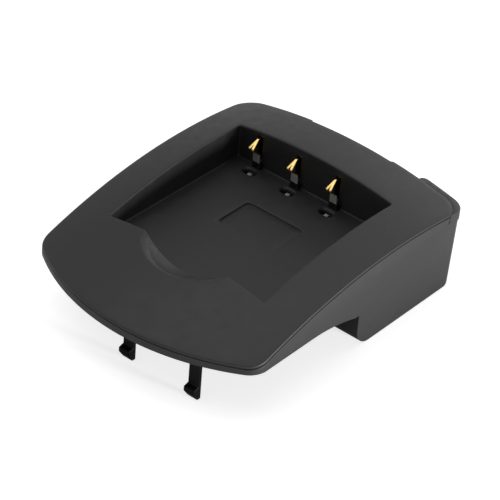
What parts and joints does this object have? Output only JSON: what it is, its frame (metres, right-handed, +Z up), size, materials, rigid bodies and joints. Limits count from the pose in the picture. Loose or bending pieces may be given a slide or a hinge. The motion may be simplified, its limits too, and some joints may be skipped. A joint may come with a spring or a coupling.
{
  "type": "camera battery charging dock",
  "caption": "Charging plate for a small flat camera battery: domed deck, square pocket with sprung contacts and a thumb scoop, deep rear block and snap hooks under the lip.",
  "frame": {"origin": "centre of the bounding box's bottom face, on the plane that the rear block and the hooks stand on", "axes": "+X to the right seen from the curved front lip, +Y to the back, +Z up"},
  "size_m": [0.0612, 0.079, 0.0246],
  "materials": {
    "housing_plastic": "fine spark-eroded texture, charcoal",
    "black_plastic": "smooth near-black",
    "board": "green board laminate",
    "contact_gold": "gold-plated spring strip",
    "resistor_body": "lacquered",
    "capacitor_body": "lacquered",
    "screw_steel": "zinc-plated"
  },
  "bodies": {
    "root": {"top_cover": "housing_plastic", "lower_housing": "housing_plastic", "contact_carrier": "black_plastic", "circuit_board": "board", "contact_spring_left": "contact_gold", "contact_spring_middle": "contact_gold", "contact_spring_right": "contact_gold", "output_contact_left": "contact_gold", "output_contact_middle": "contact_gold", "output_contact_right": "contact_gold", "coding_resistor": "resistor_body", "sense_resistor": "resistor_body", "filter_capacitor": "capacitor_body", "cover_screw_front_left": "screw_steel", "cover_screw_front_right": "screw_steel", "cover_screw_rear_left": "screw_steel", "cover_screw_rear_right": "screw_steel", "board_screw_left": "screw_steel", "board_screw_right": "screw_steel", "snap_hook_inner": "black_plastic", "snap_hook_outer": "black_plastic"}
  },
  "joints": []
}
